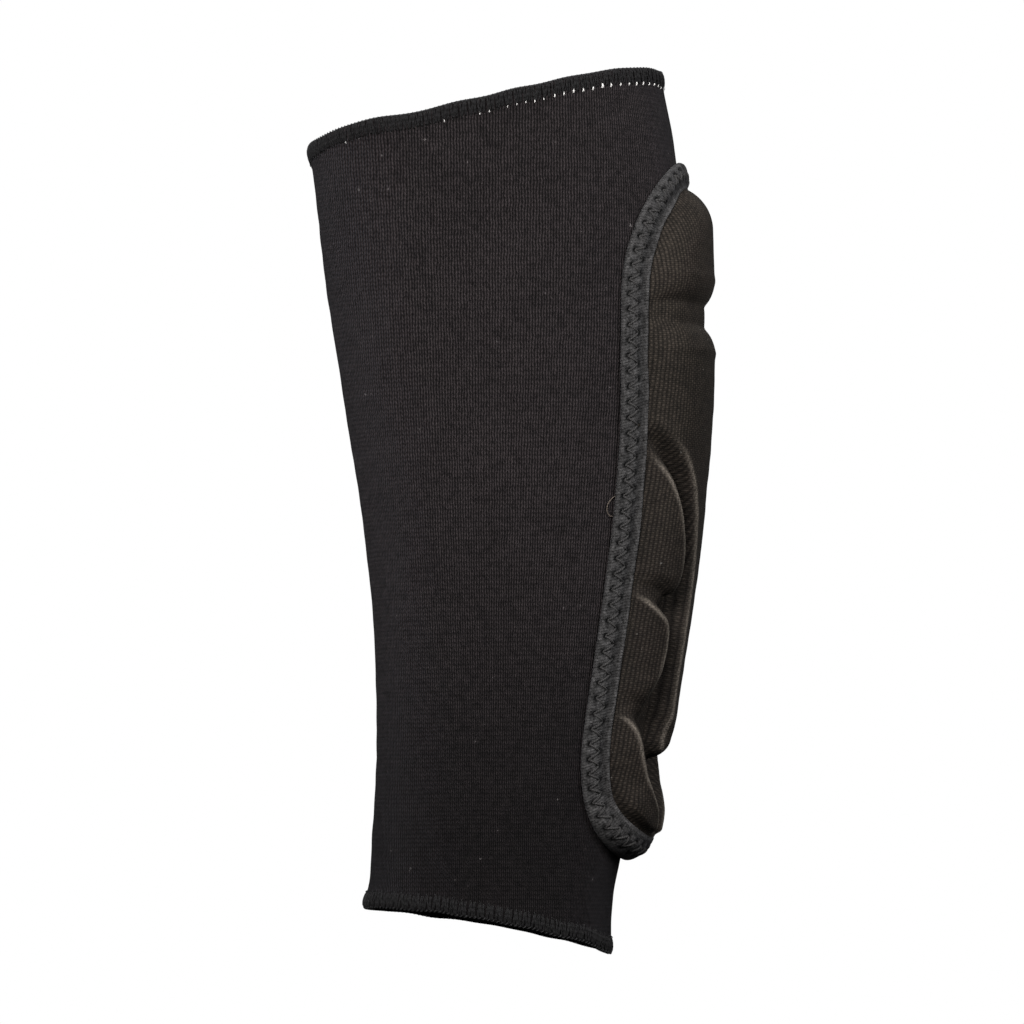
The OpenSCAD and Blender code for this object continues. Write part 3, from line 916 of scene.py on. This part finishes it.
def elbow_sizes(across, chance):
    """White and full where the hem is stretched towards the panel, fading out behind."""
    front = np.interp(across, [0, 12, 22, 38, 50, 58, 66, 76, 86, 98],
                      [0.1, 0.3, 0.55, 0.9, 0.64, 0.38, 0.22, 0.15, 0.1, 0.02])
    return np.where((across > 90) & (chance < 0.03), 0.14, front * (0.7 + 0.6 * chance))


def wrist_sizes(across, chance):
    """Almost hidden, with a few that show."""
    return np.where((chance < 0.05) & (across > 40), 0.36, 0.02)


for label, way, sizes in (("elbow", -1, elbow_sizes), ("wrist", 1, wrist_sizes)):
    thread = label + "_overlock_thread"
    dress(make_overlock(label + "_overlock", way), [OVERLOCK], "overlock", thread)
    dress(make_rim_chain(label + "_rim_chain", way), [GREY_THREAD], "overlock", thread)
    dress(make_needle_stitches(label + "_needle_stitches", way, sizes),
          [PALE_THREAD, GREY_THREAD], "pale_thread", label + "_needle_thread")


# ---- Panel ----

def panel_grid(inset, across, up):
    """(s, z) grid that fills the panel, drawn in by inset."""
    turn = (1 - np.cos(np.linspace(0, math.pi, up))) / 2
    even = np.linspace(0, 1, up)
    gap = inset + 0.15
    z = PANEL_LOW + gap + (PANEL_HIGH - PANEL_LOW - 2 * gap) * (0.35 * turn + 0.65 * even)
    half = panel_half(z, inset)
    s = half[:, None] * np.linspace(-1, 1, across)[None]
    return s, np.broadcast_to(z[:, None], s.shape)


def slab(name, s, z, low, high, pitch):
    """A closed sheet between two heights over an (s, z) grid."""
    rows, columns = s.shape
    top, under = on_panel(s, z, high), on_panel(s, z, low)
    faces = grid_faces(rows, columns)
    base = rows * columns
    rim = np.concatenate([np.arange(columns), np.arange(1, rows) * columns + columns - 1,
                          (rows - 1) * columns + np.arange(columns - 2, -1, -1),
                          np.arange(rows - 2, 0, -1) * columns])
    after = np.roll(rim, -1)
    walls = np.stack([rim, after, after + base, rim + base], 1)
    upper = faces[:, ::-1]
    all_faces = np.concatenate([upper, faces + base, walls[:, ::-1]])
    uv = (np.stack([s, z], -1) / pitch).reshape(-1, 2)
    uv = np.concatenate([uv, uv])
    return new_mesh(name, np.concatenate([top.reshape(-1, 3), under.reshape(-1, 3)]),
                    all_faces, uv[all_faces].reshape(-1, 2))


def make_cover():
    """The canvas over the cells, with the painted highlight along the crests marked."""
    s, z = panel_grid(1.1, 110, 290)
    h = cover_height(s, z)
    h = smooth(smooth(h, 0, 0.7, False), 1, 0.8, False)
    h = h + 0.10 * noise(31, s / 14, z / 16) + 0.05 * noise(33, s / 5, z / 6)
    obj = slab("canvas_cover", s, z, h - COVER_T, h, (2 * WARP_PITCH, 2 * WEFT_PITCH))
    # Painted highlight along the crests, stored for the canvas colour
    crest_highlight = crest_highlight_share(s, z).ravel()
    layer = obj.data.attributes.new("crest_highlight", "FLOAT", "POINT")
    layer.data.foreach_set("value", np.concatenate([crest_highlight, crest_highlight]).astype(np.float32))
    return obj


COVER = dress(make_cover(), [CANVAS], "canvas", "panel_cover")

s_grid, z_grid = panel_grid(1.1, 40, 110)
flat = np.full(s_grid.shape, BACKING_LOW)
BACKING = dress(slab("backing_cloth", s_grid, z_grid, flat, flat + BACKING_T, 1.2), [LINING],
                "lining", "panel_backing")


def make_foam(name, cell, side, centre):
    """One foam block: rings of its outline, shrinking towards a point inside it."""
    points = np.array(OUTLINES[cell])
    if side == 0:
        keep = points[points[:, 0] >= 0]
        points = np.concatenate([keep, keep[::-1] * [-1, 1]])
    run = np.concatenate([points, points[:1]])
    length = np.concatenate([[0], np.cumsum(np.linalg.norm(np.diff(run, axis=0), axis=1))])
    even = np.linspace(0, length[-1], 120, endpoint=False)
    edge = np.stack([np.interp(even, length, run[:, k]) for k in (0, 1)], 1)
    # Twice, because a point that moves up or down meets another width of the panel
    for _ in range(2):
        over = np.abs(edge[:, 0]) - np.maximum(panel_half(edge[:, 1], BINDING_W + 0.5), 0.3)
        edge[:, 0] -= np.sign(edge[:, 0]) * np.maximum(over, 0)
        edge[:, 1] = np.clip(edge[:, 1], PANEL_LOW + BINDING_W + 1, PANEL_HIGH - BINDING_W - 1)
    shares = 1 - np.linspace(0.1, 1, 22)[:-1] ** 1.6
    rings = np.array(centre) + (edge - centre) * shares[:, None, None]
    s, z = rings[..., 0], rings[..., 1]
    h = np.maximum(cover_height(s, z) - COVER_T - FOAM_CLEAR, FOAM_BASE + 0.1)
    sign = -1 if side < 0 else 1
    count = len(edge)
    top = on_panel(sign * s, z, h).reshape(-1, 3)
    under = on_panel(sign * s, z, np.full(s.shape, FOAM_BASE)).reshape(-1, 3)
    faces = grid_faces(len(shares), count, wrap_columns=True)
    base = len(top)
    last = (len(shares) - 1) * count
    quads = [faces[:, ::-1], faces + base,
             np.stack([np.arange(count), np.roll(np.arange(count), -1),
                       np.roll(np.arange(count), -1) + base, np.arange(count) + base], 1)]
    obj = new_mesh(name, np.concatenate([top, under]), np.concatenate(quads))
    close_rings(obj, last, count, base)
    return obj


def close_rings(obj, last, count, base):
    """Fills the small inner holes of a foam block and makes its faces point outwards."""
    bm = bmesh.new()
    bm.from_mesh(obj.data)
    bm.verts.ensure_lookup_table()
    for start in (last, last + base):
        bm.faces.new([bm.verts[start + i] for i in range(count)])
    bmesh.ops.recalc_face_normals(bm, faces=bm.faces)
    for f in bm.faces:
        f.smooth = True
    bm.to_mesh(obj.data)
    bm.free()


FOAM_BLOCKS = [("foam_top", "foam_top", 0, (0, 204)), ("foam_centre", "foam_centre", 0, (0, 150))]
for side, word in ((-1, "near"), (1, "far")):
    for cell, middle in (("upper", (17, 118)), ("middle", (17, 82)), ("lower", (14, 44))):
        FOAM_BLOCKS.append((f"foam_{word}_{cell}", cell, side, middle))
for node, cell, side, middle in FOAM_BLOCKS:
    block = dress(make_foam(node + "_block", cell, side, np.array(middle, float)), [FOAM],
                  "foam", node)


# ---- Binding ----

def tape_profile():
    """The folded tape's section as (distance in from the edge, height) points."""
    top = [(7.9, 2.2), (8.05, 2.8), (7.95, 3.35), (7.65, 3.62), (7.3, 3.5), (7.0, 3.05),
           (6.6, 2.6), (6.1, 2.5), (5.6, 2.75), (5.0, 3.0), (4.3, 3.1), (3.5, 3.12),
           (2.8, 3.12), (2.1, 3.08), (1.4, 2.95), (0.85, 2.75), (0.4, 2.4), (0.08, 1.9),
           (0.0, 1.4), (0.12, 0.8), (0.45, 0.35), (1.0, 0.15)]
    under = [(3.0, 0.12), (5.5, 0.12), (7.6, 0.15), (7.6, 0.6), (5.5, 0.68), (2.5, 0.68),
             (1.0, 0.75), (0.8, 1.4), (1.0, 2.1), (2.5, 2.2), (5.5, 2.2)]
    return np.array(top), np.array(under)


def make_binding():
    """The folded tape, with a pit wherever the zigzag's needle went in, and painted shade darkening
    the pits.
    """
    count = 1300
    edge, inward, length = outline(count)
    top, under = tape_profile()
    profile = np.concatenate([top, under])
    run = np.arange(count) * length / count
    steps = 2 * int(round(length / ZIGZAG_PITCH))
    gap = length / steps
    middle = BINDING_W / 2 - 0.45
    d = profile[:, 0][None] + 0 * run[:, None]
    h = profile[:, 1][None] + 0 * run[:, None]
    face = (np.arange(len(profile)) < len(top) - 4)[None]
    d = d + face * 0.14 * noise(51, run / 17)[:, None]
    h = h + face * (0.12 * noise(53, run / 9)[:, None]
                    + 0.07 * noise(54, run[:, None] / 3.1, d / 2.5))
    k = np.round(run / gap)
    # Dents at the needle holes; the same share paints shade into them for the tape's colour
    pits_and_painted_shade = np.zeros_like(h)
    for shift in (0, -1, 1):
        spot = k + shift
        column = middle + np.where(spot % 2 == 0, -1, 1) * ZIGZAG_W / 2
        away = np.hypot((run - spot * gap)[:, None] * 0.75, d - column[:, None])
        pits_and_painted_shade = np.maximum(pits_and_painted_shade, face * np.exp(-(away / 0.8) ** 2))
    h = h - 0.85 * pits_and_painted_shade
    # Painted shade in the groove by the bead, and a darker band over the tape's inner part
    pits_and_painted_shade = np.maximum(pits_and_painted_shade, 0.34 * face * np.exp(-((d - 6.35) / 0.5) ** 2))
    pits_and_painted_shade = np.maximum(pits_and_painted_shade, 0.17 * face * ramp(d, 3.6, 5.6) * ramp(-d, -7.3, -6.8))
    where = edge[:, None] + inward[:, None] * d[..., None]
    where[..., 0] = np.where(np.abs(edge[:, None, 0]) < 0.01, 0, where[..., 0])
    climb = ramp(-where[..., 1], -(PANEL_LOW + 22), -(PANEL_LOW + 8))
    climb = np.maximum(climb, 0.8 * ramp(where[..., 1], PANEL_HIGH - 18, PANEL_HIGH - 8))
    h = h - face * climb * ramp(d, 6.2, 7.0) * np.clip(h - 2.5, 0, 2)
    h = h + end_lift(where[..., 1], d)
    points = on_panel(where[..., 0], where[..., 1], h)
    columns = len(profile)
    faces = grid_faces(count, columns, wrap_rows=True, wrap_columns=True)
    u = np.broadcast_to(np.arange(count + 1)[:, None] * length / count, (count + 1, columns + 1))
    v = np.concatenate([profile[:, 0], profile[:1, 0]]) / BINDING_W
    obj = new_mesh("edge_tape", points.reshape(-1, 3), faces,
                   grid_uvs(u, np.broadcast_to(v, u.shape)))
    # Painted shade for the tape's colour, from the pits, the groove and the inner band
    shade = obj.data.attributes.new("pits_and_painted_shade", "FLOAT", "POINT")
    shade.data.foreach_set("value", np.clip(pits_and_painted_shade * 1.6, 0, 1).astype(np.float32).ravel())
    return obj, edge, inward, length, steps, middle


BINDING, EDGE, INWARD, EDGE_LENGTH, STEPS, TAPE_MIDDLE = make_binding()
dress(BINDING, [TAPE], "tape", "edge_binding")


def make_zigzag():
    """Legs of thread from hole to hole, each diving into the tape at its ends."""
    count = len(EDGE)
    t = np.linspace(0, 1, 9)
    k = np.arange(STEPS)
    rng = np.random.default_rng(77)
    place = (k[:, None] + t[None]) * count / STEPS
    side = np.where(k % 2 == 0, -1.0, 1.0)[:, None]
    d = TAPE_MIDDLE + side * (1 - 2 * t)[None] * ZIGZAG_W / 2
    h = TAPE_TOP - 1.0 + 1.2 * np.sin(math.pi * t)[None] ** 0.7 + rng.normal(0, 0.05, (STEPS, 1))
    closed = np.concatenate([EDGE, EDGE[:1]])
    inward = np.concatenate([INWARD, INWARD[:1]])
    index = np.arange(count + 1)
    base = np.stack([np.interp(place % count, index, closed[:, c]) for c in (0, 1)], -1)
    normal = np.stack([np.interp(place % count, index, inward[:, c]) for c in (0, 1)], -1)
    where = base + normal * d[..., None]
    h = h + end_lift(where[..., 1], d)
    return tubes("zigzag_seam", on_panel(where[..., 0], where[..., 1], h), ZIGZAG_R * MM)


dress(make_zigzag(), [DARK_THREAD], "dark_thread", "binding_zigzag_thread")


# ---- Loose thread end ----

def spline(points, count):
    p = np.array(points, float)
    u = np.linspace(0, len(p) - 1, count)
    return read(p[:, None, :].repeat(2, 1), u, np.zeros(count))


def make_loose_thread():
    """A short end of thread that curls out from under the tape on the near side."""
    z = 126.0
    side = -float(panel_half(z))
    curl = spline([(0.4, 3.2, 0.3), (-1.0, 2.4, 0.6), (-2.1, 0.6, 0.9), (-2.0, -1.4, 0.8),
                   (-0.9, -2.8, 0.5), (0.3, -3.0, 0.4)], 24)
    path = on_panel(side + curl[:, 0], z + curl[:, 1], curl[:, 2])
    return tubes("loose_thread", path[None], LOOSE_R * MM)


dress(make_loose_thread(), [BEIGE_THREAD], "pale_thread")


# ---- Stage, light and camera ----

def make_stage():
    """A pale floor that glows a little, so that it stays pale from every side."""
    size, drop = 6.0, -0.75
    mesh = bpy.data.meshes.new("floor")
    mesh.from_pydata([(-size, -size, drop), (size, -size, drop), (size, size, drop),
                      (-size, size, drop)], [], [(0, 1, 2, 3)])
    floor = bpy.data.objects.new("floor", mesh)
    bpy.context.scene.collection.objects.link(floor)
    n = Nodes("floor_paint")
    floor.data.materials.append(n.finish((0.45, 0.45, 0.45, 1), None, 0.9, 0.1))
    n.shader.inputs["Emission Color"].default_value = (1, 1, 1, 1)
    n.shader.inputs["Emission Strength"].default_value = 0.62
    floor.visible_diffuse = False
    floor.visible_glossy = False


def area_light(name, place, aim, size, power, colour=(1, 1, 1)):
    data = bpy.data.lights.new(name, "AREA")
    data.shape = "RECTANGLE"
    data.size, data.size_y = size
    data.energy = power
    data.color = colour
    light = bpy.data.objects.new(name, data)
    light.location = place
    light.rotation_euler = (Vector(aim) - Vector(place)).to_track_quat("-Z", "Y").to_euler()
    bpy.context.scene.collection.objects.link(light)


def make_camera():
    """A long lens, a little towards the panel side and a little below the middle."""
    azimuth, elevation = math.radians(7.0), math.radians(-3.5)
    away, span = 3.2, 0.3123
    look = Vector((math.sin(azimuth) * math.cos(elevation),
                   -math.cos(azimuth) * math.cos(elevation), math.sin(elevation)))
    right = Vector((math.cos(azimuth), math.sin(azimuth), 0))
    up = look.cross(right)
    aim_right, aim_up = 0.0073, 0.126
    aim = right * aim_right + up * aim_up
    data = bpy.data.cameras.new("camera")
    data.sensor_width = 36
    data.lens = 36 * away / span
    data.clip_end = 50
    camera = bpy.data.objects.new("camera", data)
    camera.location = aim + look * away
    camera.rotation_euler = (-look).to_track_quat("-Z", "Y").to_euler()
    bpy.context.scene.collection.objects.link(camera)
    bpy.context.scene.camera = camera


def make_light():
    """White surroundings for the camera, dimmer for the cloth and darkest from below."""
    world = bpy.data.worlds.new("studio")
    bpy.context.scene.world = world
    world.use_nodes = True
    tree = world.node_tree
    back = tree.nodes["Background"]
    back.inputs[0].default_value = (1, 1, 1, 1)
    where = tree.nodes.new("ShaderNodeTexCoord")
    split = tree.nodes.new("ShaderNodeSeparateXYZ")
    tree.links.new(where.outputs["Generated"], split.inputs[0])
    dim = tree.nodes.new("ShaderNodeMapRange")
    tree.links.new(split.outputs[2], dim.inputs[0])
    for socket, value in zip(dim.inputs[1:5], (-0.3, 0.9, 0.03, 0.42)):
        socket.default_value = value
    pick = tree.nodes.new("ShaderNodeMix")
    path = tree.nodes.new("ShaderNodeLightPath")
    tree.links.new(path.outputs["Is Camera Ray"], pick.inputs[0])
    tree.links.new(dim.outputs[0], pick.inputs[2])
    pick.inputs[3].default_value = 1.0
    tree.links.new(pick.outputs[0], back.inputs[1])
    bpy.context.scene.view_settings.view_transform = "Standard"
    area_light("key", (-0.12, -0.88, 0.5), (0, 0, 0.15), (0.4, 0.4), 10.6, (1.0, 0.975, 0.95))
    area_light("side", (0.66, -0.5, 0.58), (0.05, 0, 0.18), (0.3, 0.4), 6.0)
    area_light("edge", (-0.7, 0.25, 0.45), (0, 0, 0.17), (0.3, 0.5), 2.0, (0.84, 0.9, 1.0))


make_stage()
make_light()
make_camera()
